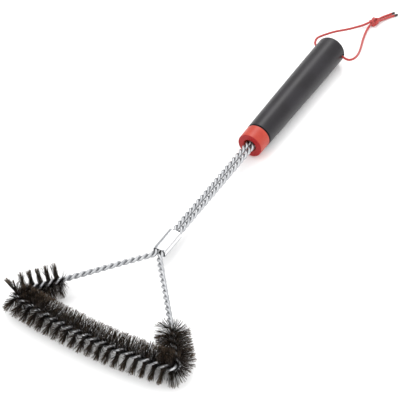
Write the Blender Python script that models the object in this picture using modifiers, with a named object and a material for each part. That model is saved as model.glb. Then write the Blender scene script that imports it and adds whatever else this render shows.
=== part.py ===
"""Grill cleaning brush with a three-sided twisted-wire head.

Metres, +Z up. The brush lies flat: the handle and shaft run along Y with the head
at -Y, and the origin is on the floor under the middle of the brush.
"""
import math

import bmesh
import bpy
import numpy as np
from mathutils import Matrix, Vector

# Overall sizes
total_length = 0.4640          # from the bristle tips at the base to the handle's end
head_half_width = 0.0858       # centre line to where the leg and base lines would cross
head_height = 0.1119           # from the middle of the base wire to the bends of the legs
base_bow = 0.0073              # how far the middle of the base stands out past its corners
axis_height = 0.0148           # the wires and the handle all lie on this level

# Clearances
gap = 0.0003                   # between pieces that touch on the real brush
bore_clearance = 0.0006        # bristle rows round the twisted wires
run_gap = 0.0009               # between two stretches of one wire, whose cut ends aren't parallel

# Twisted wires
wire_diameter = 0.0026
bare_pitch = 0.0131            # one full turn of the twist where no bristles are caught
bristled_pitch = 0.0171        # one full turn where bristles are caught in it
points_per_turn = 8
leg_bend_radius = 0.010
corner_radius = 0.0042
bow_share = 0.92               # part of the base that is bent, the rest is straight
wire_in_handle = 0.081         # from the collar's face to the cut ends

# Bristle rows
bristle_radius = 0.0162
rows_per_side = 15             # counted from the middle of the base, one for each half turn
row_root_thickness = 0.0042
row_tip_thickness = 0.0022
row_sides = 16

# Crimped steel bands
sleeve_length = 0.0276
bend_to_sleeve = 0.0046        # the legs bend this far in front of the sleeve
band_wall = 0.0007
band_corner = 0.0015
end_ferrule_length = 0.007

# Shaft, collar and handle
shaft_length = 0.1357          # bare cable between the sleeve and the collar's face
collar_length = 0.0163         # visible part
collar_face_radius = 0.0125
collar_rim_radius = 0.0128
collar_round = 0.0007
collar_clearance = 0.0009      # round the two cables where they enter the collar
spigot_length = 0.0145
groove_width = 0.0012
handle_neck_radius = 0.0130
handle_end_radius = axis_height
handle_wall = 0.0026
handle_round = 0.0026
handle_solid_end = 0.016
handle_sides = 32
plug_length = 0.034
cord_hole_radius = 0.0021
cord_hole_inset = 0.005        # from the handle's end face to the hole's centre

# Hang cord
cord_diameter = 0.0024
cord_step = 0.004
knot_radii = (0.0040, 0.0050, 0.0040)
knot_turn = math.radians(-24)

# Sizes that follow from those above
base_y = bristle_radius - total_length / 2
handle_end_y = total_length / 2
leg_bend_y = base_y + head_height
corner_y = base_y + base_bow
sleeve_y = (leg_bend_y + bend_to_sleeve, leg_bend_y + bend_to_sleeve + sleeve_length)
collar_face_y = sleeve_y[1] + shaft_length
collar_rim_y = collar_face_y + collar_length
spigot_end_y = collar_rim_y + spigot_length
handle_neck_y = collar_rim_y + groove_width
cavity_end_y = handle_end_y - handle_solid_end
cavity_radius = handle_neck_radius - handle_wall
plug_y = (spigot_end_y + gap, spigot_end_y + gap + plug_length)
ferrule_y = (plug_y[1] + gap, plug_y[1] + gap + end_ferrule_length)
wire_end_y = collar_face_y + wire_in_handle
cord_hole_y = handle_end_y - cord_hole_inset

twist_radius = (wire_diameter / 2 + gap / 2) / math.cos(math.pi / points_per_turn)
cable_radius = twist_radius + wire_diameter / 2
# The two cables nest a quarter turn apart, so they sit closer than their outer diameter.
cable_spacing = math.sqrt(2) * twist_radius + wire_diameter + 2 * gap
row_bore = (cable_radius + bore_clearance) / math.cos(math.pi / row_sides)
band_bore = (cable_spacing + 2 * (cable_radius + gap), 2 * (cable_radius + gap))
collar_bore = cable_spacing / 2 + cable_radius + collar_clearance

# The cord's route from the cross hole to the knot, on each side, and its two tails. Across
# the brush, past the handle's end and up from the floor, all in radii of the handle's end.
left_route = [
    (-0.57, -0.34, 1.00), (-1.00, -0.33, 1.00), (-1.24, -0.13, 1.00), (-1.37, 0.17, 1.00),
    (-1.42, 0.47, 0.98), (-1.36, 0.82, 0.92), (-1.18, 1.36, 0.81), (-0.88, 2.13, 0.63),
    (-0.49, 2.90, 0.42), (-0.22, 3.46, 0.28), (0.01, 3.92, 0.20), (0.27, 4.34, 0.18),
    (0.50, 4.62, 0.20),
]
right_route = [
    (0.57, -0.34, 1.00), (1.00, -0.35, 0.99), (1.27, -0.40, 0.95), (1.51, -0.28, 0.86),
    (1.65, 0.15, 0.76), (1.59, 0.80, 0.60), (1.41, 1.51, 0.45), (1.18, 2.19, 0.31),
    (0.94, 2.91, 0.20), (0.77, 3.53, 0.14), (0.67, 4.05, 0.12), (0.68, 4.34, 0.16),
    (0.73, 4.49, 0.20),
]
long_tail_route = [(1.04, 5.27, 0.22), (1.18, 5.72, 0.13), (1.42, 6.19, 0.10), (1.73, 6.62, 0.10)]
short_tail_route = [(0.82, 5.32, 0.24), (0.97, 5.78, 0.15), (1.20, 6.28, 0.11), (1.45, 6.71, 0.10)]
knot_place = (0.78, 4.91, 0.28)

handle_black = ((0.022, 0.021, 0.023), 0.55, 0.0)
collar_red = ((0.62, 0.075, 0.06), 0.45, 0.0)
wire_steel = ((0.72, 0.73, 0.74), 0.28, 1.0)
band_steel = ((0.85, 0.85, 0.85), 0.2, 1.0)
bristle_steel = ((0.035, 0.026, 0.022), 0.5, 0.6)
plug_nylon = ((0.12, 0.12, 0.12), 0.6, 0.0)
cord_red = ((0.55, 0.045, 0.035), 0.8, 0.0)


for old in list(bpy.data.objects):
    bpy.data.objects.remove(old, do_unlink=True)

parts = bpy.data.collections.new("grill_brush")
cutters = bpy.data.collections.new("cutters")
bpy.context.scene.collection.children.link(parts)
bpy.context.scene.collection.children.link(cutters)


def add_part(name, data, finish, matrix=Matrix()):
    """A sub-part in the brush's collection, with its own material."""
    material = bpy.data.materials.new(name)
    material.use_nodes = True
    shader = material.node_tree.nodes["Principled BSDF"]
    color, roughness, metallic = finish
    shader.inputs["Base Color"].default_value = (*color, 1)
    shader.inputs["Roughness"].default_value = roughness
    shader.inputs["Metallic"].default_value = metallic
    data.materials.clear()
    data.materials.append(material)
    part = bpy.data.objects.new(name, data)
    part.matrix_world = matrix
    parts.objects.link(part)
    return part


def add_cutter(name, data, matrix=Matrix()):
    """A cutter or guide that isn't part of the brush."""
    cutter = bpy.data.objects.new(name, data)
    cutter.matrix_world = matrix
    cutter.hide_render = True
    cutter.display_type = "WIRE"
    cutters.objects.link(cutter)
    return cutter


def profile_mesh(name, points, closed):
    """An open or closed outline in the local XZ plane, ready for a Screw modifier."""
    count = len(points)
    edges = [(i, (i + 1) % count) for i in range(count if closed else count - 1)]
    mesh = bpy.data.meshes.new(name)
    mesh.from_pydata([(radius, 0, height) for radius, height in points], edges, [])
    return mesh


def turn(item, sides):
    """Turns an outline once round the local Z axis."""
    screw = item.modifiers.new("turned", "SCREW")
    screw.steps = screw.render_steps = sides
    screw.use_merge_vertices = True
    screw.merge_threshold = 0.00001
    screw.use_smooth_shade = True


def along_y(y):
    """Local +Z runs along +Y of the brush, from this station on its axis."""
    return Matrix.Translation((0, y, axis_height)) @ Matrix.Rotation(-math.pi / 2, 4, "X")


def quarter_round(centre, radius, start, steps):
    """Points along a quarter circle, turning clockwise from the start angle in degrees."""
    angles = np.radians(np.linspace(start, start - 90, steps + 1))
    return [(centre[0] + radius * math.cos(a), centre[1] + radius * math.sin(a)) for a in angles]


# Handle shell, collar and plug


def add_handle_shell():
    """Tapered shell, closed and solid at its far end, with the cross hole for the cord."""
    length = handle_end_y - handle_neck_y
    round_centre = (handle_end_radius - handle_round, length - handle_round)
    outline = [(0, length), *quarter_round(round_centre, handle_round, 90, 5)]
    outline += [
        (handle_neck_radius, 0.0006),
        (handle_neck_radius - 0.0006, 0),
        (cavity_radius, 0),
        (cavity_radius, length - handle_solid_end),
        (0, length - handle_solid_end),
    ]
    shell = add_part(
        "handle_shell", profile_mesh("handle_shell", outline, False), handle_black, along_y(handle_neck_y)
    )
    turn(shell, handle_sides)
    drill = bmesh.new()
    bmesh.ops.create_cone(
        drill, cap_ends=True, segments=16, radius1=cord_hole_radius, radius2=cord_hole_radius,
        depth=4 * handle_end_radius
    )
    mesh = bpy.data.meshes.new("cord_hole")
    drill.to_mesh(mesh)
    drill.free()
    place = Matrix.Translation((0, cord_hole_y, axis_height)) @ Matrix.Rotation(math.pi / 2, 4, "Y")
    cut = shell.modifiers.new("cord_hole", "BOOLEAN")
    cut.operation = "DIFFERENCE"
    cut.solver = "EXACT"
    cut.object = add_cutter("cord_hole", mesh, place)


def add_handle_collar():
    """Ring in front of the shell, with a spigot inside it and a hole for the cables."""
    spigot_radius = cavity_radius - gap
    face_round = (collar_face_radius - collar_round, collar_round)
    outline = [
        (collar_bore, spigot_end_y - collar_face_y),
        (spigot_radius, spigot_end_y - collar_face_y),
        (spigot_radius, collar_length),
        (collar_rim_radius - 0.0004, collar_length),
        (collar_rim_radius, collar_length - 0.0004),
        *quarter_round(face_round, collar_round, 0, 4),
        (collar_bore, 0),
    ]
    collar = add_part(
        "handle_collar", profile_mesh("handle_collar", outline, True), collar_red, along_y(collar_face_y)
    )
    turn(collar, handle_sides)


def rounded_rectangle(width, height, corner, steps=5):
    """Closed outline about the origin, with a round corner of the given radius at each corner."""
    points = []
    for quarter in range(4):
        angles = np.linspace(quarter, quarter + 1, steps + 1) * math.pi / 2
        side = (1 if quarter in (0, 3) else -1, 1 if quarter < 2 else -1)
        centre = (side[0] * (width / 2 - corner), side[1] * (height / 2 - corner))
        points += [(centre[0] + corner * math.cos(a), centre[1] + corner * math.sin(a)) for a in angles]
    return points


def circle(radius, sides):
    angles = np.arange(sides) * 2 * math.pi / sides
    return [(radius * math.cos(a), radius * math.sin(a)) for a in angles]


def add_band(name, outer, inner, span, finish):
    """A tube of constant section along Y, between an outer and an inner outline."""
    curve = bpy.data.curves.new(name, "CURVE")
    curve.dimensions = "2D"
    curve.fill_mode = "BOTH"
    curve.extrude = (span[1] - span[0]) / 2
    for outline in (outer, inner):
        spline = curve.splines.new("POLY")
        spline.points.add(len(outline) - 1)
        spline.points.foreach_set("co", [value for x, y in outline for value in (x, y, 0, 1)])
        spline.use_cyclic_u = True
    add_part(name, curve, finish, along_y((span[0] + span[1]) / 2))


def add_bands():
    """Crimp sleeve, end ferrule and anchor plug, which all fit round the pair of cables."""
    bore = rounded_rectangle(*band_bore, band_corner)
    outside = rounded_rectangle(
        band_bore[0] + 2 * band_wall, band_bore[1] + 2 * band_wall, band_corner + band_wall
    )
    add_band("crimp_sleeve", outside, bore, sleeve_y, band_steel)
    add_band("end_ferrule", outside, bore, ferrule_y, band_steel)
    add_band("anchor_plug", circle(cavity_radius - gap, handle_sides), bore, plug_y, plug_nylon)


# Core path of the twisted wires


def core_path():
    """Straight runs and arcs of one cable, from its left end in the handle to its right end."""
    side = cable_spacing / 2
    bow_angle = base_bow / ((1 - bow_share / 2) * head_half_width)
    bow_radius = bow_share * head_half_width / math.sin(bow_angle)
    bow_tip_y = corner_y - head_half_width * math.tan(bow_angle)
    corners = [
        Vector((-side, wire_end_y)),
        Vector((-side, leg_bend_y)),
        Vector((-head_half_width, corner_y)),
        Vector((0, bow_tip_y)),
        Vector((head_half_width, corner_y)),
        Vector((side, leg_bend_y)),
        Vector((side, wire_end_y)),
    ]
    radii = [leg_bend_radius, corner_radius, bow_radius, corner_radius, leg_bend_radius]
    runs, start = [], corners[0]
    for before, corner, after, radius in zip(corners, corners[1:], corners[2:], radii):
        heading_in, heading_out = (corner - before).normalized(), (after - corner).normalized()
        turn_angle = math.atan2(heading_in.cross(heading_out), heading_in.dot(heading_out))
        reach = radius * math.tan(abs(turn_angle) / 2)
        arc_start = corner - heading_in * reach
        runs.append((start, heading_in, (arc_start - start).length, 0.0))
        runs.append((arc_start, heading_in, radius * abs(turn_angle), turn_angle))
        start = corner + heading_out * reach
    last = (corners[-1] - start).normalized()
    runs.append((start, last, (corners[-1] - start).length, 0.0))
    return runs


path_runs = core_path()
path_length = sum(run[2] for run in path_runs)
run_ends = np.cumsum([run[2] for run in path_runs])
bristled_half = (rows_per_side + 0.25) * bristled_pitch / 2


def on_path(distance):
    """Point and heading on the cable's centre line, at a distance from its left end."""
    start_of_run = 0.0
    for start, heading, length, turn_angle in path_runs:
        if distance <= start_of_run + length or (start, heading, length, turn_angle) == path_runs[-1]:
            break
        start_of_run += length
    ahead = distance - start_of_run
    if turn_angle == 0:
        return start + heading * ahead, heading
    radius = length / abs(turn_angle)
    swept = turn_angle * ahead / length
    across = Vector((-heading.y, heading.x)) * math.copysign(1, turn_angle)
    centre = start + across * radius
    turned = Matrix.Rotation(swept, 2)
    return centre + turned @ (start - centre), turned @ heading


def half_turns(distance):
    """Half turns of the twist, counted from the middle of the base towards the right end."""
    from_middle = distance - path_length / 2
    bristled = min(abs(from_middle), bristled_half)
    bare = abs(from_middle) - bristled
    return math.copysign(2 * bristled / bristled_pitch + 2 * bare / bare_pitch, from_middle)


def frame_on_path(distance):
    """Local +X across the cable in the level plane, +Y up and +Z along the cable."""
    point, heading = on_path(distance)
    along = Vector((heading.x, heading.y, 0))
    up = Vector((0, 0, 1))
    across = up.cross(along)
    rotation = Matrix((across, up, along)).transposed().to_4x4()
    return Matrix.Translation((point.x, point.y, axis_height)) @ rotation


def add_wire(name, begin, end, strand):
    """One strand of the left-handed twist, over a stretch of the path."""
    samples = np.linspace(begin, end, 2000)
    turns = np.array([half_turns(s) / 2 for s in samples])
    count = max(3, int(round((turns[-1] - turns[0]) * points_per_turn)) + 1)
    stations = np.interp(np.linspace(turns[0], turns[-1], count), turns, samples)
    curve = bpy.data.curves.new(name, "CURVE")
    curve.dimensions = "3D"
    curve.bevel_depth = wire_diameter / 2
    curve.bevel_resolution = 1
    curve.use_fill_caps = True
    spline = curve.splines.new("POLY")
    spline.points.add(count - 1)
    for point, distance in zip(spline.points, stations):
        angle = math.pi / 4 + strand * math.pi - math.pi * half_turns(distance)
        offset = Vector((math.cos(angle), math.sin(angle), 0)) * twist_radius
        point.co = (*(frame_on_path(distance) @ offset), 1)
    add_part(name, curve, wire_steel)


def add_wires():
    """Both wires, in stretches that meet inside the sleeve and inside the bristles."""
    in_sleeve = wire_end_y - (sleeve_y[0] + sleeve_y[1]) / 2
    at_corner = run_ends[2]
    cuts = [0, in_sleeve, at_corner, path_length - at_corner, path_length - in_sleeve, path_length]
    names = ["shaft_wire_left", "leg_wire_left", "base_wire", "leg_wire_right", "shaft_wire_right"]
    for name, begin, end in zip(names, cuts, cuts[1:]):
        for strand, letter in enumerate("ab"):
            add_wire(f"{name}_{letter}", begin + run_gap / 2, end - run_gap / 2, strand)


# Bristle rows


def cut_away(bm, point, normal):
    """Removes what lies beyond the plane, on its normal's side, and closes the cut."""
    geometry = bm.verts[:] + bm.edges[:] + bm.faces[:]
    cut = bmesh.ops.bisect_plane(
        bm, geom=geometry, plane_co=point, plane_no=normal, clear_outer=True, dist=0.0000001
    )
    edges = [item for item in cut["geom_cut"] if isinstance(item, bmesh.types.BMEdge)]
    if edges:
        bmesh.ops.edgeloop_fill(bm, edges=edges)


def add_bristle_rows():
    """One tapered ring of bristles for each half turn of the twist.

    Rows are pressed flat where they meet the floor. Near a corner each row stops at the
    plane that halves the corner, and rows deep in the bend are open towards the inside.
    """
    root, tip = row_root_thickness / 2, row_tip_thickness / 2
    outline = [(row_bore, root), (bristle_radius, tip), (bristle_radius, -tip), (row_bore, -root)]
    blank = add_cutter("row_blank", profile_mesh("row_blank", outline, True))
    turn(blank, row_sides)
    graph = bpy.context.evaluated_depsgraph_get()
    ring = bpy.data.meshes.new_from_object(blank.evaluated_get(graph))
    bpy.data.objects.remove(blank)
    spacing = bristled_pitch / 2
    to_corner = path_length / 2 - (run_ends[2] + run_ends[3]) / 2
    corner_half = (run_ends[3] - run_ends[2]) / 2
    for number in range(2 * rows_per_side):
        from_middle = (number - rows_per_side + 0.5) * spacing
        side = math.copysign(1, from_middle)
        place = frame_on_path(path_length / 2 + from_middle)
        to_row = place.inverted()
        bm = bmesh.new()
        bm.from_mesh(ring)
        cut_away(bm, to_row @ Vector(), to_row.to_3x3() @ Vector((0, 0, -1)))
        corner = frame_on_path(path_length / 2 + side * to_corner)
        inwards, onwards = corner.col[0].xyz, side * corner.col[2].xyz
        past_corner = abs(from_middle) - to_corner
        if abs(past_corner) < 0.6 * corner_half:
            cut_away(bm, to_row @ (corner.translation + inwards * row_bore / 2), to_row.to_3x3() @ inwards)
        if abs(past_corner) > spacing / 5:
            beyond = onwards if past_corner < 0 else -onwards
            cut_away(bm, to_row @ (corner.translation - beyond * gap / 2), to_row.to_3x3() @ beyond)
        mesh = bpy.data.meshes.new("row")
        bm.to_mesh(mesh)
        bm.free()
        add_part(f"bristle_row_{number + 1:02d}", mesh, bristle_steel, place)


# Hang cord


def smooth_line(points, step):
    """Points a step apart on the smooth curve through the given ones."""
    points = [Vector(p) for p in points]
    padded = [2 * points[0] - points[1], *points, 2 * points[-1] - points[-2]]
    fine = []
    for before, start, end, after in zip(padded, padded[1:], padded[2:], padded[3:]):
        for t in np.linspace(0, 1, 20, endpoint=False):
            fine.append(
                0.5 * (
                    2 * start + (end - before) * t + (2 * before - 5 * start + 4 * end - after) * t ** 2
                    + (3 * start - before - 3 * end + after) * t ** 3
                )
            )
    fine = np.array([*fine, points[-1]])
    along = np.concatenate([[0], np.cumsum(np.linalg.norm(np.diff(fine, axis=0), axis=1))])
    stations = np.linspace(0, along[-1], int(round(along[-1] / step)) + 1)
    return np.stack([np.interp(stations, along, fine[:, axis]) for axis in range(3)], axis=1)


def cord_points(route):
    """Points of a route in metres, with the cord held above the floor."""
    scaled = [Vector(point) * handle_end_radius for point in route]
    lowest = cord_diameter / 2 + gap / 2
    return [Vector((p.x, p.y + handle_end_y, max(p.z, lowest))) for p in scaled]


def add_cord(name, points):
    curve = bpy.data.curves.new(name, "CURVE")
    curve.dimensions = "3D"
    curve.bevel_depth = cord_diameter / 2
    curve.bevel_resolution = 2
    curve.use_fill_caps = True
    line = smooth_line(points, cord_step)
    spline = curve.splines.new("POLY")
    spline.points.add(len(line) - 1)
    spline.points.foreach_set("co", [value for p in line for value in (*p, 1)])
    add_part(name, curve, cord_red)


def add_hang_cord():
    """Two strands from the cross hole to the knot, the knot, and its two tails."""
    middle, apart = Vector((0, cord_hole_y, axis_height)), Vector((gap / 2, 0, 0))
    add_cord("cord_strand_left", [middle - apart, *cord_points(left_route)])
    add_cord("cord_strand_right", [middle + apart, *cord_points(right_route)])
    add_cord("cord_tail_long", cord_points(long_tail_route))
    add_cord("cord_tail_short", cord_points(short_tail_route))
    bm = bmesh.new()
    bmesh.ops.create_uvsphere(bm, u_segments=16, v_segments=10, radius=1)
    bmesh.ops.scale(bm, vec=knot_radii, verts=bm.verts)
    mesh = bpy.data.meshes.new("cord_knot")
    bm.to_mesh(mesh)
    bm.free()
    mesh.shade_smooth()
    place = Matrix.Translation(cord_points([knot_place])[0]) @ Matrix.Rotation(knot_turn, 4, "Z")
    add_part("cord_knot", mesh, cord_red, place)


add_handle_shell()
add_handle_collar()
add_bands()
add_wires()
add_bristle_rows()
add_hang_cord()
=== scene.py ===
import math

import bmesh
import bpy
import numpy as np
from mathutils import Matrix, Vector


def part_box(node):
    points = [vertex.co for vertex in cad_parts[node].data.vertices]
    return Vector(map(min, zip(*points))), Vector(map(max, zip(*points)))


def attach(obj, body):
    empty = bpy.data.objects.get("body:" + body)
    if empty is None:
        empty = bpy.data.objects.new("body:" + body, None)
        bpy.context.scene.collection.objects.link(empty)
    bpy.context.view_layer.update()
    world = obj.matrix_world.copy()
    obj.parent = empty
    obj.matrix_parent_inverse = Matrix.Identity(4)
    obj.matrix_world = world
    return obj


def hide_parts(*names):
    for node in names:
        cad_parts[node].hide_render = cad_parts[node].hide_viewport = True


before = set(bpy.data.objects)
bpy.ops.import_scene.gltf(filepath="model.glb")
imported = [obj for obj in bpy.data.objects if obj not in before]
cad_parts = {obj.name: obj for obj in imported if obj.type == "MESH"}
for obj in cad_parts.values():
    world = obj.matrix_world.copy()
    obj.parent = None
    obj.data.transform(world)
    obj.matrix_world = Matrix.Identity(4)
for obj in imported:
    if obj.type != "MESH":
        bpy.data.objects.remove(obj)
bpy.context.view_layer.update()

# Grill brush, as it looks: cord, twisted wires, bristles, pressed sleeve, collar and grip.
# Metres, +Z up. The brush lies along Y with its head at -Y.

bpy.context.scene.view_settings.view_transform = "Standard"
pieces = bpy.data.collections.new("brush")
bpy.context.scene.collection.children.link(pieces)


def nodeSpan(node, axis):
    low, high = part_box(node)
    return low[axis], high[axis]

# Places taken from the frame.
handleFrom, handleTo = nodeSpan("handle_shell", 1)
handleRadius = nodeSpan("handle_shell", 0)[1]
axisHeight = sum(nodeSpan("handle_shell", 2)) / 2
collarFace, spigotEnd = nodeSpan("handle_collar", 1)
sleeveFrom, sleeveTo = nodeSpan("crimp_sleeve", 1)
sleeveWidth = 2 * nodeSpan("crimp_sleeve", 0)[1]
sleeveHeight = nodeSpan("crimp_sleeve", 2)[1] - nodeSpan("crimp_sleeve", 2)[0]
wireEnd = nodeSpan("shaft_wire_left_a", 1)[1]
baseLine = sum(nodeSpan("bristle_row_15", 1)) / 2
rowNodes = sorted(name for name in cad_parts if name.startswith("bristle_row_"))


camera = {"place": (0.60601, -1.04289, 1.18206), "looksAt": (-0.01141, -0.00888, -0.0017), "lens": 162.45}


def addCamera():
    data = bpy.data.cameras.new("camera")
    data.lens, data.sensor_width = camera["lens"], 36
    data.clip_end = 20
    item = bpy.data.objects.new("camera", data)
    item.location = camera["place"]
    way = Vector(camera["looksAt"]) - Vector(camera["place"])
    item.rotation_euler = way.to_track_quat("-Z", "Y").to_euler()
    bpy.context.scene.collection.objects.link(item)
    bpy.context.scene.camera = item
    bpy.context.view_layer.update()

addCamera()
print("camera placed")


def addMesh(name, points, faces, uv=None, smooth=True):
    # One mesh object at the origin from whole arrays. faces is a list of arrays of quads or triangles.
    mesh = bpy.data.meshes.new(name)
    loops = np.concatenate([f.ravel() for f in faces])
    sizes = np.concatenate([np.full(len(f), f.shape[1]) for f in faces])
    mesh.vertices.add(len(points))
    mesh.vertices.foreach_set("co", np.asarray(points, np.float32).ravel())
    mesh.loops.add(len(loops))
    mesh.loops.foreach_set("vertex_index", loops.astype(np.int32))
    mesh.polygons.add(len(sizes))
    mesh.polygons.foreach_set("loop_start", np.concatenate([[0], np.cumsum(sizes)[:-1]]).astype(np.int32))
    mesh.update(calc_edges=True)
    mesh.validate()
    if uv is not None:
        layer = mesh.uv_layers.new(name="own")
        layer.uv.foreach_set("vector", np.asarray(uv, np.float32)[loops].ravel())
    mesh.polygons.foreach_set("use_smooth", np.full(len(sizes), smooth))
    item = bpy.data.objects.new(name, mesh)
    pieces.objects.link(item)
    return item


def gridFaces(rows, columns, wrapColumns=True, wrapRows=False):
    # Quads between neighbours on a grid of points. Their normals face out where columns run
    # anticlockwise as seen from the end of the rows.
    r = np.arange(rows if wrapRows else rows - 1)[:, None]
    c = np.arange(columns if wrapColumns else columns - 1)[None, :]
    r2, c2 = (r + 1) % rows, (c + 1) % columns
    corners = np.broadcast_arrays(r * columns + c, r * columns + c2, r2 * columns + c2, r2 * columns + c)
    return np.stack(corners, axis=-1).reshape(-1, 4)


def tube(name, line, radius, sides, capLength=0.6):
    # A ring of points round each point of a line, at right angles to it, closed by a low dome at both ends.
    # Frames are carried along the line by turning each one by the least amount that keeps it square.
    line = np.asarray(line, float)
    radius = np.broadcast_to(radius, len(line)).astype(float)
    along = np.gradient(line, axis=0)
    along /= np.linalg.norm(along, axis=1)[:, None]
    normal = squareFrames(along)
    side = np.cross(along, normal)
    reach = np.concatenate([[0], np.cumsum(np.linalg.norm(np.diff(line, axis=0), axis=1))])
    dome = np.array([0.55, 0.85]) # ring sizes on the domes
    lift = np.sqrt(1 - dome ** 2) * capLength
    line = np.concatenate([line[:1] - along[:1] * radius[0] * lift[:, None], line,
                           line[-1:] + along[-1:] * radius[-1] * lift[::-1, None]])
    radius = np.concatenate([radius[:1] * dome, radius, radius[-1:] * dome[::-1]])
    pad = lambda a: np.concatenate([a[:1], a[:1], a, a[-1:], a[-1:]])
    normal, side = pad(normal), pad(side)
    reach = np.concatenate([[reach[0]] * 2, reach, [reach[-1]] * 2])
    turn = np.arange(sides) * 2 * math.pi / sides
    ring = np.cos(turn)[None, :, None] * normal[:, None] + np.sin(turn)[None, :, None] * side[:, None]
    points = (line[:, None] + radius[:, None, None] * ring).reshape(-1, 3)
    tips = np.stack([line[0] - along[0] * radius[2] * 0.12, line[-1] + along[-1] * radius[-3] * 0.12])
    last = len(points) - sides
    c = np.arange(sides)
    near = np.stack([np.full(sides, len(points)), (c + 1) % sides, c], axis=1)
    far = np.stack([np.full(sides, len(points) + 1), last + c, last + (c + 1) % sides], axis=1)
    uv = np.stack(np.broadcast_arrays(reach[:, None], turn[None, :] / (2 * math.pi)), axis=-1).reshape(-1, 2)
    uv = np.concatenate([uv, [[reach[0], 0.5], [reach[-1], 0.5]]])
    return addMesh(name, np.concatenate([points, tips]), [gridFaces(len(line), sides), near, far], uv)


def squareFrames(along):
    # Each frame turned from the one before by the rotation that takes one heading to the next.
    normal = np.zeros_like(along)
    start = np.cross(along[0], [0, 0, 1.0])
    if np.linalg.norm(start) < 0.1:
        start = np.cross(along[0], [1.0, 0, 0])
    normal[0] = start / np.linalg.norm(start)
    for i in range(1, len(along)):
        n = normal[i - 1] - along[i] * np.dot(normal[i - 1], along[i])
        normal[i] = n / np.linalg.norm(n)
    return normal


def turned(name, outline, sides, closed, fromY):
    # A profile of (radius, distance along the brush) carried round the brush's axis. Open profiles start and
    # end on the axis, where each end closes in one point.
    outline = np.asarray(outline, float)
    turn = np.arange(sides) * 2 * math.pi / sides
    body = outline if closed else outline[1:-1]
    radius, y = body[:, 0][:, None], body[:, 1][:, None]
    places = np.broadcast_arrays(radius * np.cos(turn), fromY + y, axisHeight + radius * np.sin(turn))
    points = np.stack(places, axis=-1).reshape(-1, 3)
    faces = [gridFaces(len(body), sides, wrapRows=closed)]
    if not closed:
        c = np.arange(sides)
        last = len(points) - sides
        faces.append(np.stack([np.full(sides, len(points)), (c + 1) % sides, c], axis=1))
        faces.append(np.stack([np.full(sides, len(points) + 1), last + c, last + (c + 1) % sides], axis=1))
        ends = np.array([[0, fromY + outline[0, 1], axisHeight], [0, fromY + outline[-1, 1], axisHeight]])
        points = np.concatenate([points, ends])
    return addMesh(name, points, faces)


def arc(centre, radius, start, end, steps):
    # Points on an arc of a profile, angles in degrees from the radius direction towards +Y.
    a = np.radians(np.linspace(start, end, steps + 1))
    return [(centre[0] + radius * math.cos(t), centre[1] + radius * math.sin(t)) for t in a]


def faceOut(item):
    # Turns every face's normal away from the inside of its piece.
    bm = bmesh.new()
    bm.from_mesh(item.data)
    bmesh.ops.recalc_face_normals(bm, faces=bm.faces)
    bm.to_mesh(item.data)
    bm.free()


class Value:
    # Wraps a socket so that shader maths reads as maths.
    def __init__(self, kit, socket):
        self.kit, self.socket = kit, socket

    def math(self, operation, other=None, swap=False):
        values = [self] if other is None else ([other, self] if swap else [self, other])
        return self.kit.node("ShaderNodeMath", {"operation": operation}, dict(enumerate(values)))

    def __add__(self, other): return self.math("ADD", other)
    def __radd__(self, other): return self.math("ADD", other)
    def __sub__(self, other): return self.math("SUBTRACT", other)
    def __rsub__(self, other): return self.math("SUBTRACT", other, True)
    def __mul__(self, other): return self.math("MULTIPLY", other)
    def __truediv__(self, other): return self.math("DIVIDE", other)


class Finish:
    # One material: its Principled shader and the nodes that feed it.
    def __init__(self, name, **fixed):
        self.material = bpy.data.materials.new(name)
        self.material.use_nodes = True
        self.tree = self.material.node_tree
        self.shader = self.tree.nodes["Principled BSDF"]
        for socket, value in fixed.items():
            self.shader.inputs[socket.replace("_", " ")].default_value = value

    def node(self, kind, settings=None, sockets=None, output=0):
        node = self.tree.nodes.new(kind)
        for key, value in (settings or {}).items():
            setattr(node, key, value)
        for key, value in (sockets or {}).items():
            if isinstance(value, Value):
                self.tree.links.new(value.socket, node.inputs[key])
            else:
                node.inputs[key].default_value = value
        return Value(self, node.outputs[output])

    def place(self): return self.node("ShaderNodeTexCoord", output="Object")

    def own(self): return self.node("ShaderNodeUVMap", {"uv_map": "own"})

    def parts(self, vector):
        split = self.node("ShaderNodeSeparateXYZ", sockets={0: vector})
        return [Value(self, split.socket.node.outputs[i]) for i in range(3)]

    def stretched(self, vector, scale):
        return self.node("ShaderNodeVectorMath", {"operation": "MULTIPLY"}, {0: vector, 1: scale})

    def noise(self, vector, scale, detail=3.0, roughness=0.55):
        return self.node("ShaderNodeTexNoise", sockets={"Vector": vector, "Scale": scale, "Detail": detail,
                                                        "Roughness": roughness})

    def blendColors(self, factor, first, second):
        return self.node("ShaderNodeMix", {"data_type": "RGBA"}, {0: factor, 6: first, 7: second}, output=2)

    def steps(self, factor, low, high):
        return self.node("ShaderNodeMapRange", {"interpolation_type": "SMOOTHSTEP"},
                         {"Value": factor, "From Min": low, "From Max": high})

    def feed(self, socket, value):
        self.tree.links.new(value.socket, self.shader.inputs[socket])

    def bump(self, height, strength, distance):
        self.feed("Normal", self.node("ShaderNodeBump", sockets={"Height": height, "Strength": strength,
                                                                "Distance": distance}))


def rgb(hexColor):
    # Linear colour from an sRGB hex value.
    parts = [int(hexColor[i:i + 2], 16) / 255 for i in (0, 2, 4)]
    return tuple(((c + 0.055) / 1.055) ** 2.4 if c > 0.04045 else c / 12.92 for c in parts) + (1.0,)


gripFinish = {"color": "1d1b1e", "worn": "242226", "roughness": 0.40, "grain": 1400}

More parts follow.
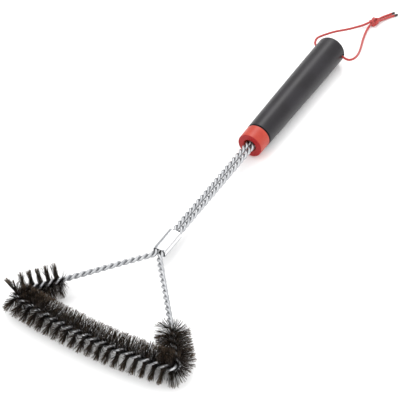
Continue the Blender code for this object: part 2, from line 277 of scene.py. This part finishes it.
def gripPlastic():
    # Black moulded plastic with a fine grain, a little greyer where hands have rubbed it.
    f = Finish("gripPlastic", Specular_IOR_Level=0.28)
    place = f.place()
    grain = f.noise(place, gripFinish["grain"], 2.0)
    cloud = f.noise(place, 35.0, 3.0)
    rubbed = f.steps(cloud, 0.35, 0.7)
    f.feed("Base Color", f.blendColors(rubbed, rgb(gripFinish["color"]), rgb(gripFinish["worn"])))
    f.feed("Roughness", gripFinish["roughness"] + (cloud - 0.5) * 0.12 + (grain - 0.5) * 0.08)
    f.bump(grain, 0.25, 0.00006)
    return f.material


# The face colour is painted shade on the front face; the groove colour is painted shadow just in front of
# the rim.
collarFinish = {"color": "ae4131", "deep": "a03226", "face": "8b0e0f", "grooveShadow": "140607", "roughness": 0.42,
                "grooveShadeStart": 0.0009, "grooveShadeFull": 0.0004}     # metres in front of the rim

def collarPlastic():
    # Mottled red at random on its side; its front face is painted a deeper red as painted shade, and a
    # near-black painted shadow lies just in front of its rim, against the grip.
    f = Finish("collarPlastic", Specular_IOR_Level=0.3)
    place = f.place()
    cloud = f.noise(place, 60.0, 3.0)
    grain = f.noise(place, 1800.0, 2.0)
    y = f.parts(place)[1]
    side = f.blendColors(f.steps(cloud, 0.3, 0.75), rgb(collarFinish["color"]), rgb(collarFinish["deep"]))
    # Painted shade: the front face gets a deeper red than the side, fading out over two face roundings.
    clearOfFaceShade = f.steps(y, collarFace, collarFace + 2 * collar["faceRound"])
    red = f.blendColors(clearOfFaceShade, rgb(collarFinish["face"]), side)
    rim = collarFace + collar["length"]
    # Painted shadow: a near-black band that fades in from 0.9 to 0.4 mm in front of the rim, where the
    # groove against the grip lies in shade.
    grooveShadeMask = f.steps(y, rim - collarFinish["grooveShadeStart"], rim - collarFinish["grooveShadeFull"])
    f.feed("Base Color", f.blendColors(grooveShadeMask, red, rgb(collarFinish["grooveShadow"])))
    f.feed("Roughness", collarFinish["roughness"] + (cloud - 0.5) * 0.1)
    f.bump(grain, 0.15, 0.00004)
    return f.material


wireFinish = {"color": "b6b7b9", "dull": "9a9c9f", "roughness": 0.42}

def wireSteel():
    # Zinc-plated wire: fine draw lines along each strand, and dull patches.
    f = Finish("wireSteel", Metallic=1.0)
    own = f.own()
    lines = f.noise(f.stretched(own, (60.0, 22.0, 1.0)), 1.0, 4.0, 0.6)
    patches = f.noise(f.place(), 260.0, 3.0)
    dulled = f.steps(patches, 0.42, 0.75)
    f.feed("Base Color", f.blendColors(dulled, rgb(wireFinish["color"]), rgb(wireFinish["dull"])))
    f.feed("Roughness", wireFinish["roughness"] + (lines - 0.5) * 0.16 + (patches - 0.5) * 0.12)
    f.bump(lines, 0.2, 0.00003)
    return f.material


# The darkest colour here is painted shade: the dark reflections along the top's folds and the shade under
# the sides.
sleeveFinish = {"color": "e2e2e3", "dull": "d2d3d5", "pressed": "96989b", "roughness": 0.14}

def pressedSteel(name):
    # Bright rolled sheet with faint rolling lines along the brush and a few rubbed patches. It is painted
    # darker, as painted shade for its dark reflections, in a band along both folds of its top, where one
    # step up and one step down of the distance from its side overlap, and as painted shade under its sides.
    f = Finish(name, Metallic=1.0)
    place = f.place()
    lines = f.noise(f.stretched(place, (900.0, 30.0, 900.0)), 1.0, 3.0)
    patches = f.noise(place, 140.0, 3.0)
    x, _, z = f.parts(place)
    fromSide = (sleeveWidth / 2 - x.math("ABSOLUTE")) / sleeve["corner"]
    height = (z - axisHeight) / sleeve["corner"]
    # Painted shade: a darker band along each fold of the top, standing for its dark reflection.
    foldShadeBand = f.steps(fromSide, 0.55, 1.0) * (1 - f.steps(fromSide, 1.3, 1.9)) * f.steps(height, 0.2, 0.6)
    # Painted shade under the sides.
    undersideShade = 1 - f.steps(height, -0.7, -0.1)
    sheet = f.blendColors(f.steps(patches, 0.4, 0.8), rgb(sleeveFinish["color"]), rgb(sleeveFinish["dull"]))
    f.feed("Base Color", f.blendColors(foldShadeBand.math("MAXIMUM", undersideShade), sheet, rgb(sleeveFinish["pressed"])))
    f.feed("Roughness", sleeveFinish["roughness"] + (lines - 0.5) * 0.12 + (patches - 0.5) * 0.1)
    f.bump(lines, 0.15, 0.00003)
    return f.material


bristleFinish = {"root": "16110d", "shank": "2b231c", "tip": "6a5b4c", "roughness": 0.38}

def bristleSteel():
    # Dark tempered wire, a little different from one bristle to the next, with bright cut tips.
    f = Finish("bristleSteel", Metallic=0.85)
    along, which, _ = f.parts(f.own())
    shank = f.blendColors(f.steps(along, 0.1, 0.75), rgb(bristleFinish["root"]), rgb(bristleFinish["shank"]))
    bright = f.steps(along, 0.78, 1.0) * (0.25 + which * 0.75)
    f.feed("Base Color", f.blendColors(bright, shank, rgb(bristleFinish["tip"])))
    f.feed("Roughness", bristleFinish["roughness"] + which * 0.14)
    return f.material


# The dark colour is painted shade in the valleys between the plaits.
cordFinish = {"color": "bb352f", "plaitValleyShade": "8a1d1b", "end": "2a0f10", "strands": 4.0, "turns": 520.0,
              "sealed": 0.0042}     # metres at the end of each tail, melted and dark

def cordBraid(length):
    # Braid: two sets of plaits that cross, worked out from the place along and round the cord, with painted
    # shade in the valleys between them.
    f = Finish("cordBraid", Roughness=0.78, Sheen_Weight=0.35, Sheen_Roughness=0.5)
    along, around, _ = f.parts(f.own())
    first = (along * cordFinish["turns"] + around * cordFinish["strands"]).math("FRACT") - 0.5
    second = (along * cordFinish["turns"] - around * cordFinish["strands"]).math("FRACT") - 0.5
    ridge = (1 - first.math("ABSOLUTE") * 2).math("MAXIMUM", 1 - second.math("ABSOLUTE") * 2)
    fuzz = f.noise(f.place(), 2600.0, 3.0)
    # Painted shade: the valleys between the plaits are painted a darker red.
    shade = f.steps(ridge + (fuzz - 0.5) * 0.5, 0.45, 1.0)
    red = f.blendColors(shade, rgb(cordFinish["plaitValleyShade"]), rgb(cordFinish["color"]))
    sealed = f.steps(along, length - cordFinish["sealed"], length - cordFinish["sealed"] * 0.75)
    f.feed("Base Color", f.blendColors(sealed, red, rgb(cordFinish["end"])))
    f.bump(ridge + fuzz * 0.3, 0.6, 0.00025)
    return f.material


def plugNylon():
    # Grey nylon, hidden in the grip.
    f = Finish("plugNylon", Specular_IOR_Level=0.45)
    cloud = f.noise(f.place(), 90.0, 3.0)
    f.feed("Base Color", f.blendColors(cloud, rgb("58585a"), rgb("6a6a6c")))
    f.feed("Roughness", 0.5 + (cloud - 0.5) * 0.2)
    return f.material


def finished(item, material, slotName, *nodes):
    # Gives a piece its finish and its place in the frame.
    item.data.materials.clear()
    item.data.materials.append(material)
    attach(item, "root")
    if nodes:
        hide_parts(*nodes)


# Places are across the brush, past the grip's end and up from the floor, in radii of the grip's end.
cord = {
    "diameter": 0.0024,
    "inKnot": 0.00205,          # the cord is squeezed where it is knotted
    "knotPlace": (0.78, 4.91, 0.28),
    "knotHeading": -24,         # degrees from +Y, anticlockwise from above
    "knotRadius": 0.0021,       # middle of the knot's loops from its own axis
    "loopWidth": 0.00115,       # half size of a loop across the knot
    "loopLength": 0.0036,       # half size of a loop along the knot
    "pairSpacing": 0.0018,      # between the two cords in the knot
    "knotTrim": 0.42,           # radians of the knot's curve left off at both ends
    "knotPoints": 34,
    "squeezedWithin": 0.0045,   # of the knot's middle, and back to full size over squeezeFade
    "squeezeFade": 0.003,
    "left": [
        (0.0, -0.34, 1.00), (-0.57, -0.34, 1.00), (-1.00, -0.33, 1.00), (-1.24, -0.13, 1.00),
        (-1.37, 0.17, 1.00), (-1.42, 0.47, 0.98), (-1.36, 0.82, 0.92), (-1.18, 1.36, 0.81),
        (-0.88, 2.13, 0.63), (-0.49, 2.90, 0.42), (-0.22, 3.46, 0.28), (0.01, 3.92, 0.20),
        (0.27, 4.32, 0.19),
    ],
    "right": [
        (0.0, -0.34, 1.00), (0.57, -0.34, 0.99), (1.00, -0.36, 0.96), (1.27, -0.41, 0.93),
        (1.51, -0.28, 0.86), (1.65, 0.15, 0.76), (1.59, 0.80, 0.60), (1.41, 1.51, 0.45),
        (1.18, 2.19, 0.31), (0.94, 2.91, 0.20), (0.77, 3.53, 0.14), (0.68, 4.02, 0.14),
    ],
    "longTail": [(1.04, 5.33, 0.20), (1.18, 5.72, 0.13), (1.42, 6.19, 0.10), (1.73, 6.62, 0.10)],
    "shortTail": [(0.86, 5.38, 0.21), (0.97, 5.78, 0.15), (1.20, 6.28, 0.11), (1.45, 6.71, 0.10)],
    "length": {"left": 0.183, "right": 0.181},
}


def cordPlaces(points):
    # Metres from radii of the grip's end, counted from its flat end and the floor.
    return np.asarray(points, float) * handleRadius + (0, handleTo, 0)


def smoothLine(points, step):
    # The cubic curve through the points whose heading at each is set by its two neighbours, at even steps.
    p = np.asarray(points, float)
    p = np.concatenate([[2 * p[0] - p[1]], p, [2 * p[-1] - p[-2]]])
    a, b, c, d = (q[:, None] for q in (p[:-3], p[1:-2], p[2:-1], p[3:]))
    t = np.linspace(0, 1, 24, endpoint=False)[None, :, None]
    fine = 2 * b + (c - a) * t + (2 * a - 5 * b + 4 * c - d) * t ** 2 + (3 * b - a - 3 * c + d) * t ** 3
    fine = np.concatenate([fine.reshape(-1, 3) / 2, p[-2:-1]])
    reach = np.concatenate([[0], np.cumsum(np.linalg.norm(np.diff(fine, axis=0), axis=1))])
    stations = np.linspace(0, reach[-1], int(round(reach[-1] / step)) + 1)
    return np.stack([np.interp(stations, reach, fine[:, k]) for k in range(3)], axis=1)


def knotLine(which):
    # An overhand knot, round the knot's own axis. With t from one end to the other, outward is
    # cos t across + sin t up, and the line is (knotRadius + loopWidth cos 1.5t) outward plus
    # loopLength sin 1.5t along the axis. Each cord lies half a pairSpacing to one side of this line.
    c = cord
    heading = math.radians(c["knotHeading"])
    axis = np.array([-math.sin(heading), math.cos(heading), 0.0])
    across = np.array([math.cos(heading), math.sin(heading), 0.0])
    up = np.array([0, 0, 1.0])
    start, trim = 2 * math.pi / 3, c["knotTrim"]
    t = np.linspace(start + trim, start + 4 * math.pi - trim, c["knotPoints"])[:, None]

    def centre(t):
        outward = np.cos(t) * across + np.sin(t) * up
        away = c["knotRadius"] + c["loopWidth"] * np.cos(1.5 * t)
        return away * outward + c["loopLength"] * np.sin(1.5 * t) * axis

    line = centre(t)
    along = centre(t + 0.01) - centre(t - 0.01)
    ringCentre = c["knotRadius"] * (np.cos(t) * across + np.sin(t) * up)
    side = np.cross(along, line - ringCentre)
    side /= np.linalg.norm(side, axis=1)[:, None]
    return cordPlaces(c["knotPlace"]) + line + side * which * c["pairSpacing"] / 2


def addCord(name, side, which, tail, nodes):
    # One cord from the middle of the cross hole through the knot to the end of its tail.
    c = cord
    knot = knotLine(which)
    route = np.concatenate([cordPlaces(c[side]), knot, cordPlaces(c[tail])])
    route[0, 0] = math.copysign(0.00015, route[1, 0])
    line = smoothLine(route, 0.0006)
    line[:, 2] = np.maximum(line[:, 2], c["diameter"] / 2)
    nearKnot = np.linalg.norm(line - cordPlaces(c["knotPlace"]), axis=1)
    full = np.clip((nearKnot - c["squeezedWithin"]) / c["squeezeFade"], 0, 1)
    radius = (c["inKnot"] + (c["diameter"] - c["inKnot"]) * full) / 2
    item = tube(name, line, radius, 20)
    length = np.linalg.norm(np.diff(line, axis=0), axis=1).sum()
    print(name, "length", round(float(length), 4))
    finished(item, cordBraid(length), "cord_red", *nodes)


addCord("cord_left", "left", 1, "longTail", ["cord_strand_left", "cord_tail_long", "cord_knot"])
addCord("cord_right", "right", -1, "shortTail", ["cord_strand_right", "cord_tail_short"])
print("cords laid")


wires = {
    "diameter": 0.0028,
    "twistRadius": 0.00143,     # of each strand's middle from the cable's
    "spacing": 0.0054,          # between the shaft's two cables
    "barePitch": 0.0131,
    "bristledPitch": 0.0171,
    "legPitch": 0.0152,         # the same, on the legs
    "rowsPerSide": 15,
    "headHalfWidth": 0.0858,
    "headAside": 0.0013,        # the head sits a little to the right of the shaft
    "baseBow": 0.0073,          # how far the middle of the base stands out past its corners
    "bowShare": 0.92,           # part of the base that is bent
    "bendToSleeve": 0.0046,
    "legBendRadius": 0.010,
    "cornerRadius": 0.0042,
    "ringsPerTurn": 26,
    "sides": 14,
}


def corePath():
    # Straight runs and arcs of one cable, from its left end in the grip round the head to its right end.
    # Each run is (start, heading, length, turn), and a run's turn is 0 where it is straight.
    w = wires
    side, bend, corner = w["spacing"] / 2, sleeveFrom - w["bendToSleeve"], baseLine + w["baseBow"]
    bowAngle = w["baseBow"] / ((1 - w["bowShare"] / 2) * w["headHalfWidth"])
    bowRadius = w["bowShare"] * w["headHalfWidth"] / math.sin(bowAngle)
    left, right = w["headAside"] - w["headHalfWidth"], w["headAside"] + w["headHalfWidth"]
    corners = np.array([[-side, wireEnd], [-side, bend], [left, corner],
                        [w["headAside"], corner - w["headHalfWidth"] * math.tan(bowAngle)],
                        [right, corner], [side, bend], [side, wireEnd]])
    radii = [w["legBendRadius"], w["cornerRadius"], bowRadius, w["cornerRadius"], w["legBendRadius"]]
    headings = np.diff(corners, axis=0)
    headings /= np.linalg.norm(headings, axis=1)[:, None]
    runs, start = [], corners[0]
    for corner, before, after, radius in zip(corners[1:-1], headings[:-1], headings[1:], radii):
        turn = math.atan2(before[0] * after[1] - before[1] * after[0], before @ after)
        reach = radius * math.tan(abs(turn) / 2)
        runs.append((start, before, np.linalg.norm(corner - before * reach - start), 0.0))
        runs.append((corner - before * reach, before, radius * abs(turn), turn))
        start = corner + after * reach
    runs.append((start, headings[-1], np.linalg.norm(corners[-1] - start), 0.0))
    return runs

pathRuns = corePath()
runEnds = np.cumsum([run[2] for run in pathRuns])
pathLength = runEnds[-1]
pathMiddle = (runEnds[4] + runEnds[5]) / 2


def onPath(distance):
    # Points on the cable's middle line, with the heading and the level direction across it, for an array of
    # distances. On an arc of radius r that has turned by a: start + r (way sin a + left (1 - cos a)).
    point, heading = np.zeros((len(distance), 2)), np.zeros((len(distance), 2))
    begins = np.concatenate([[0], runEnds[:-1]])
    begins[0], ends = -1, np.append(runEnds[:-1], pathLength + 1)
    firsts = np.append(0, runEnds[:-1])
    for (start, way, length, turn), begin, first, end in zip(pathRuns, begins, firsts, ends):
        here = (distance >= begin) & (distance < end)
        ahead = (distance[here] - first)[:, None]
        if turn == 0:
            point[here], heading[here] = start + way * ahead, way
            continue
        left = np.array([-way[1], way[0]]) * math.copysign(1, turn)
        radius, swept = length / abs(turn), abs(turn) * ahead / length
        point[here] = start + radius * (way * np.sin(swept) + left * (1 - np.cos(swept)))
        heading[here] = way * np.cos(swept) + left * np.sin(swept)
    along = np.column_stack([heading, np.zeros(len(distance))])
    across = np.column_stack([-heading[:, 1], heading[:, 0], np.zeros(len(distance))])
    return np.column_stack([point, np.full(len(distance), axisHeight)]), along, across


def halfTurns(distance):
    # Half turns of the twist from the middle of the base: 2 (base / bristledPitch + leg / legPitch +
    # bare / barePitch). They are closer together on the legs, and closest where no bristles are caught.
    w = wires
    toCorner = (runEnds[6] + runEnds[7]) / 2 - pathMiddle
    toEnd = (w["rowsPerSide"] + 0.25) * w["bristledPitch"] / 2
    fromMiddle = abs(distance - pathMiddle)
    onBase = np.minimum(fromMiddle, toCorner)
    onLeg = np.clip(fromMiddle - toCorner, 0, toEnd - toCorner)
    bare = fromMiddle - onBase - onLeg
    turns = onBase / w["bristledPitch"] + onLeg / w["legPitch"] + bare / w["barePitch"]
    return 2 * np.sign(distance - pathMiddle) * turns


def addWire(name, strand, nodes):
    # A helix round the core path, point + twistRadius (cos a across + sin a up). Its angle a falls by half
    # a circle for each half turn, which winds it to the left.
    w = wires
    steps = int(np.ptp(halfTurns(np.array([0, pathLength]))) / 2 * w["ringsPerTurn"])
    even = np.linspace(0, pathLength, 6000)
    turns = halfTurns(even)
    distance = np.interp(np.linspace(turns[0], turns[-1], steps), turns, even)
    point, along, across = onPath(distance)
    angle = (math.pi / 4 + strand * math.pi - math.pi * halfTurns(distance))[:, None]
    up = np.array([0, 0, 1.0])
    outward = np.cos(angle) * across + np.sin(angle) * up
    line = point + outward * w["twistRadius"]
    heading = np.gradient(line, axis=0)
    heading /= np.linalg.norm(heading, axis=1)[:, None]
    normal = outward - heading * (outward * heading).sum(1)[:, None]
    normal /= np.linalg.norm(normal, axis=1)[:, None]
    side = np.cross(heading, normal)
    turn = np.arange(w["sides"]) * 2 * math.pi / w["sides"]
    ring = np.cos(turn)[None, :, None] * normal[:, None] + np.sin(turn)[None, :, None] * side[:, None]
    points = (line[:, None] + w["diameter"] / 2 * ring).reshape(-1, 3)
    rings, sides = len(line), w["sides"]
    c = np.arange(sides)
    near = np.stack([np.full(sides, rings * sides), (c + 1) % sides, c], axis=1)
    last = (rings - 1) * sides
    far = np.stack([np.full(sides, rings * sides + 1), last + c, last + (c + 1) % sides], axis=1)
    reach = np.concatenate([[0], np.cumsum(np.linalg.norm(np.diff(line, axis=0), axis=1))])
    reach *= 100 # centimetres, so that the draw lines come out fine
    uv = np.stack(np.broadcast_arrays(reach[:, None], turn[None, :] / (2 * math.pi)), axis=-1).reshape(-1, 2)
    uv = np.concatenate([uv, [[0, 0.5], [reach[-1], 0.5]]])
    points = np.concatenate([points, line[:1], line[-1:]])
    item = addMesh(name, points, [gridFaces(rings, sides), near, far], uv)
    finished(item, wireFinishMade, "wire_steel", *nodes)


wireFinishMade = wireSteel()
stretches = ["shaft_wire_left", "leg_wire_left", "base_wire", "leg_wire_right", "shaft_wire_right"]
addWire("core_wire_a", 0, [name + "_a" for name in stretches])
addWire("core_wire_b", 1, [name + "_b" for name in stretches])
print("wires twisted")


bristles = {
    "perRow": 110,              # wires caught in one half turn, each with two ends
    "thickness": 0.00034,
    "reach": 0.0160,
    "reachSpread": 0.0006,
    "fan": 0.10,                # spread of headings round the core, radians
    "lean": 0.075,              # spread of headings along the core, radians
    "curl": 0.07,               # how far a bristle bends off its straight line, as a share of its length
    "tipLift": 0.0002,          # tips that would go into the floor stop this far above it, and up to
    "tipLiftSpread": 0.0004,    # this much more
    "rings": 4,
    "seed": 11,
}


def addBristleRow(number, node, random, material):
    # Each bristle starts between the two strands and heads square to the line that joins them, give or take
    # a little, then bends slightly sideways: point + reach (t way + curl t^2 bend). It has three sides.
    b, w = bristles, wires
    middle = pathMiddle + (number - w["rowsPerSide"] + 0.5) * w["bristledPitch"] / 2
    count = b["perRow"]
    share = (np.arange(count) + random.uniform(0.1, 0.9, count)) / count
    distance = np.repeat(middle + (share - 0.5) * w["bristledPitch"] / 2, 2)
    ends = np.tile([0, 1], count)
    point, along, across = onPath(distance)
    up = np.array([0, 0, 1.0])
    total = 2 * count
    angle = math.pi / 4 + math.pi / 2 + ends * math.pi - math.pi * halfTurns(distance)
    angle += np.repeat(random.normal(0, b["fan"], count), 2) + random.normal(0, b["fan"] * 0.5, total)
    angle = angle[:, None]
    outward = np.cos(angle) * across + np.sin(angle) * up
    way = outward + along * random.normal(0, b["lean"], total)[:, None]
    way /= np.linalg.norm(way, axis=1)[:, None]
    bend = np.cross(way, random.normal(0, 1, (total, 3)))
    bend /= np.linalg.norm(bend, axis=1)[:, None]
    reach = b["reach"] + random.normal(0, b["reachSpread"], total).clip(-0.0012, 0.0011)
    curl = random.normal(0, b["curl"], total)
    t = np.linspace(0, 1, b["rings"])
    sideways = bend[:, None] * (curl[:, None] * t ** 2)[:, :, None]
    line = point[:, None] + reach[:, None, None] * (way[:, None] * t[None, :, None] + sideways)
    side = np.cross(way, bend)
    turn = np.arange(3) * 2 * math.pi / 3
    ring = np.cos(turn)[:, None] * bend[:, None] + np.sin(turn)[:, None] * side[:, None]
    ring = b["thickness"] / 2 * ring[:, None]
    points = line[:, :, None] + ring
    lowest = b["tipLift"] + b["tipLiftSpread"] * random.random((total, 1, 1)) + ring[..., 2]
    points[..., 2] = np.maximum(points[..., 2], lowest)
    rings = b["rings"]
    first = (np.arange(total) * rings * 3)[:, None]
    sheet = gridFaces(rings, 3)
    faces = (first[:, :, None] + sheet[None]).reshape(-1, 4)
    root = first + np.array([[2, 1, 0]])
    tip = first + (rings - 1) * 3 + np.array([[0, 1, 2]])
    shade = random.random(total)
    uv = np.stack(np.broadcast_arrays(t[None, :, None], shade[:, None, None] + np.zeros((1, 1, 3))), axis=-1)
    name, points, uv = f"bristles_{number + 1:02d}", points.reshape(-1, 3), uv.reshape(-1, 2)
    item = addMesh(name, points, [faces, root, tip], uv, smooth=False)
    finished(item, material, "bristle_steel", node)


def addBristles():
    random = np.random.default_rng(bristles["seed"])
    material = bristleSteel()
    for number, node in enumerate(rowNodes):
        addBristleRow(number, node, random, material)

addBristles()
print("bristles set")


sleeve = {"wall": 0.0007, "corner": 0.0023, "edgeRound": 0.0002, "crown": 0.0001}


def roundedOutline(width, height, corner, steps):
    # Closed outline with the same number of points for any size: quarter arcs joined by straight sides.
    quarter = np.arange(4)[:, None]
    a = (quarter + np.linspace(0, 1, steps)[None]) * math.pi / 2
    cx = np.array([1, -1, -1, 1])[:, None] * (width / 2 - corner)
    cz = np.array([1, 1, -1, -1])[:, None] * (height / 2 - corner)
    return np.stack([cx + corner * np.cos(a), cz + corner * np.sin(a)], axis=-1).reshape(-1, 2)


def addSleeve():
    # The wall's section, with rounded edges, carried round a flattened outline: each point of the section
    # is a depth under the outer surface and a distance along the brush.
    s = sleeve
    length, r = sleeveTo - sleeveFrom, s["edgeRound"]
    nearEdge, farEdge = arc((0, r), r, -90, 0, 3), arc((0, length - r), r, 0, 90, 3)
    middle = [(0, length * t) for t in np.linspace(0.1, 0.9, 7)]
    section = [(r - depth, y) for depth, y in nearEdge] + middle + [(r - depth, y) for depth, y in farEdge]
    section += [(s["wall"] - r + depth, y) for depth, y in farEdge[::-1] + nearEdge[::-1]]
    rings = []
    for depth, y in section:
        crown = s["crown"] * math.sin(math.pi * y / length)
        outline = roundedOutline(sleeveWidth - 2 * depth, sleeveHeight - 2 * depth, s["corner"] - depth, 8)
        outline *= 1 + crown / sleeveHeight
        across, up = outline.T
        rings.append(np.column_stack([across, np.full(len(outline), sleeveFrom + y), axisHeight + up]))
    points = np.concatenate(rings)
    item = addMesh("crimp_band", points, [gridFaces(len(section), len(rings[0]), wrapRows=True)])
    faceOut(item)
    finished(item, pressedSteel("sleeveSteel"), "band_steel", "crimp_sleeve")

addSleeve()
print("sleeve pressed")


collar = {"faceRadius": 0.0125, "rimRadius": 0.0128, "length": 0.0163, "faceRound": 0.0006, "bore": 0.0065,
          "boreRound": 0.0006, "rimRound": 0.0004, "sides": 160}


def addCollar():
    # Round hole, flat face, a side that widens a little, and behind its rim a spigot that enters the grip.
    c = collar
    spigotRadius = nodeSpan("anchor_plug", 0)[1]
    depth = spigotEnd - collarFace
    outline = [(c["bore"], depth)]
    outline += [(c["bore"], depth * t) for t in (0.7, 0.4)]
    outline += arc((c["bore"] + c["boreRound"], c["boreRound"]), c["boreRound"], 180, 270, 5)
    outline += [(c["bore"] + (c["faceRadius"] - c["bore"]) * t, 0) for t in (0.3, 0.6)]
    outline += arc((c["faceRadius"] - c["faceRound"], c["faceRound"]), c["faceRound"], -90, 0, 8)
    widening = c["rimRadius"] - c["faceRadius"]
    outline += [(c["faceRadius"] + widening * t, c["length"] * t) for t in (0.3, 0.6, 0.9)]
    outline += arc((c["rimRadius"] - c["rimRound"], c["length"] - c["rimRound"]), c["rimRound"], 0, 90, 4)
    outline += [(spigotRadius + r, c["length"] + y) for r, y in ((0.0004, 0), (0, 0), (0, 0.001))]
    outline += [(spigotRadius, depth - 0.0004), (spigotRadius - 0.0004, depth)]
    item = turned("collar_ring", outline, c["sides"], True, collarFace)
    faceOut(item)
    sharp(item, 32)
    finished(item, collarPlastic(), "collar_red", "handle_collar")


def sharp(item, degrees):
    item.data.set_sharp_from_angle(angle=math.radians(degrees))


grip = {"neckRadius": 0.0130, "wall": 0.0026, "endRound": 0.0026, "rimRound": 0.0004, "solidEnd": 0.016,
        "holeRadius": 0.0021, "holeFlare": 0.0007, "flareDepth": 0.0012, "holeInset": 0.005, "bulge": 0.0002,
        "sides": 192}


def addGrip():
    # A long profile that widens towards its end with a slight belly, as neckRadius + widening t +
    # bulge sin(pi t), and a flared cross hole cut through it.
    g = grip
    length = handleTo - handleFrom
    end = handleRadius
    outline = [(0, length)]
    outline += [(end * t, length) for t in (0.35, 0.6)]
    outline += arc((end - g["endRound"], length - g["endRound"]), g["endRound"], 90, 0, 12)
    t = np.linspace(0.96, 0.02, 42)
    side = g["neckRadius"] + (end - g["neckRadius"]) * t + g["bulge"] * np.sin(math.pi * t)
    outline += list(zip(side, (length - g["endRound"]) * t))
    outline += arc((g["neckRadius"] - g["rimRound"], g["rimRound"]), g["rimRound"], 0, -90, 5)
    cavity = g["neckRadius"] - g["wall"]
    bottom = length - g["solidEnd"]
    outline += [(cavity + 0.0003, 0), (cavity, 0.0003), (cavity, length * 0.4), (cavity, bottom)]
    outline += [(cavity * 0.5, bottom), (0, bottom)]
    shell = turned("grip_shell", outline, g["sides"], False, handleFrom)
    faceOut(shell)
    depth, rings = g["flareDepth"], 61
    drillSpan = np.linspace(-1, 1, rings) * (end + depth)
    flare = g["holeFlare"] * np.clip((abs(drillSpan) - (end - depth)) / depth, 0, 1.6) ** 2
    holeMiddle = np.tile([handleTo - g["holeInset"], axisHeight], (rings, 1))
    drillLine = np.column_stack([drillSpan, holeMiddle])
    drill = tube("drill", drillLine, g["holeRadius"] + flare, 40, 0.0)
    faceOut(drill)
    cut = shell.modifiers.new("hole", "BOOLEAN")
    cut.operation, cut.solver, cut.object = "DIFFERENCE", "EXACT", drill
    graph = bpy.context.evaluated_depsgraph_get()
    bored = bpy.data.meshes.new_from_object(shell.evaluated_get(graph))
    shell.modifiers.clear()
    shell.data = bored
    bpy.data.objects.remove(drill, do_unlink=True)
    bored.polygons.foreach_set("use_smooth", np.full(len(bored.polygons), True))
    sharp(shell, 32)
    finished(shell, gripPlastic(), "handle_black", "handle_shell")


addCollar()
addGrip()
for node, material in (("anchor_plug", plugNylon()), ("end_ferrule", pressedSteel("ferruleSteel"))):
    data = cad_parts[node].data
    data.materials.clear()
    data.materials.append(material)
print("collar and grip turned")


studio = {
    "floor": 0.9,
    "floorDrop": 0.0002,
    "skyDark": 0.62,
    "skyBright": 2.1,
    "skyTowards": (0.1, -0.65, 0.75),
    "falloff": 2.0,
    "softboxFrom": (-0.23, 0.63, 0.74),     # mirrors in flat tops, as the camera sees them
    "softboxAway": 2.2,
    "softboxSize": 0.8,
    "softboxWatts": 15,
}


def addStage():
    # A flat pale floor, just below the brush.
    points = [[-6, -6, 0], [6, -6, 0], [6, 6, 0], [-6, 6, 0]]
    floor = addMesh("floor", points, [np.array([[0, 1, 2, 3]])], smooth=False)
    f = Finish("floorWhite", Roughness=0.9, Specular_IOR_Level=0.1)
    f.shader.inputs["Base Color"].default_value = (studio["floor"],) * 3 + (1,)
    floor.data.materials.append(f.material)
    floor.location.z = -studio["floorDrop"]


def addSoftbox():
    # A square softbox behind the brush, up and to the left, that faces its middle.
    s = studio
    data = bpy.data.lights.new("softbox", "AREA")
    data.shape, data.size, data.energy = "SQUARE", s["softboxSize"], s["softboxWatts"]
    item = bpy.data.objects.new("softbox", data)
    item.location = Vector(s["softboxFrom"]) * s["softboxAway"]
    item.rotation_euler = (-item.location).to_track_quat("-Z", "Y").to_euler()
    bpy.context.scene.collection.objects.link(item)


def addSky():
    # A pale room, brightest overhead and in front and greyer low down behind the brush. Towards d it is
    # skyDark + (skyBright - skyDark) ((1 + d . skyTowards) / 2) ^ falloff.
    s = studio
    world = bpy.data.worlds.new("studio")
    world.use_nodes = True
    tree = world.node_tree
    coord = tree.nodes.new("ShaderNodeTexCoord")
    dot = tree.nodes.new("ShaderNodeVectorMath")
    dot.operation = "DOT_PRODUCT"
    dot.inputs[1].default_value = s["skyTowards"]
    tree.links.new(coord.outputs["Generated"], dot.inputs[0])
    span = tree.nodes.new("ShaderNodeMapRange")
    span.inputs["From Min"].default_value = -1.0
    tree.links.new(dot.outputs["Value"], span.inputs["Value"])
    power = tree.nodes.new("ShaderNodeMath")
    power.operation = "POWER"
    power.inputs[1].default_value = s["falloff"]
    tree.links.new(span.outputs["Result"], power.inputs[0])
    level = tree.nodes.new("ShaderNodeMapRange")
    level.inputs["To Min"].default_value = s["skyDark"]
    level.inputs["To Max"].default_value = s["skyBright"]
    tree.links.new(power.outputs["Value"], level.inputs["Value"])
    background = tree.nodes["Background"]
    background.inputs["Color"].default_value = (1, 1, 1, 1)
    tree.links.new(level.outputs["Result"], background.inputs["Strength"])
    bpy.context.scene.world = world


addStage()
addSky()
addSoftbox()
print("studio lit")
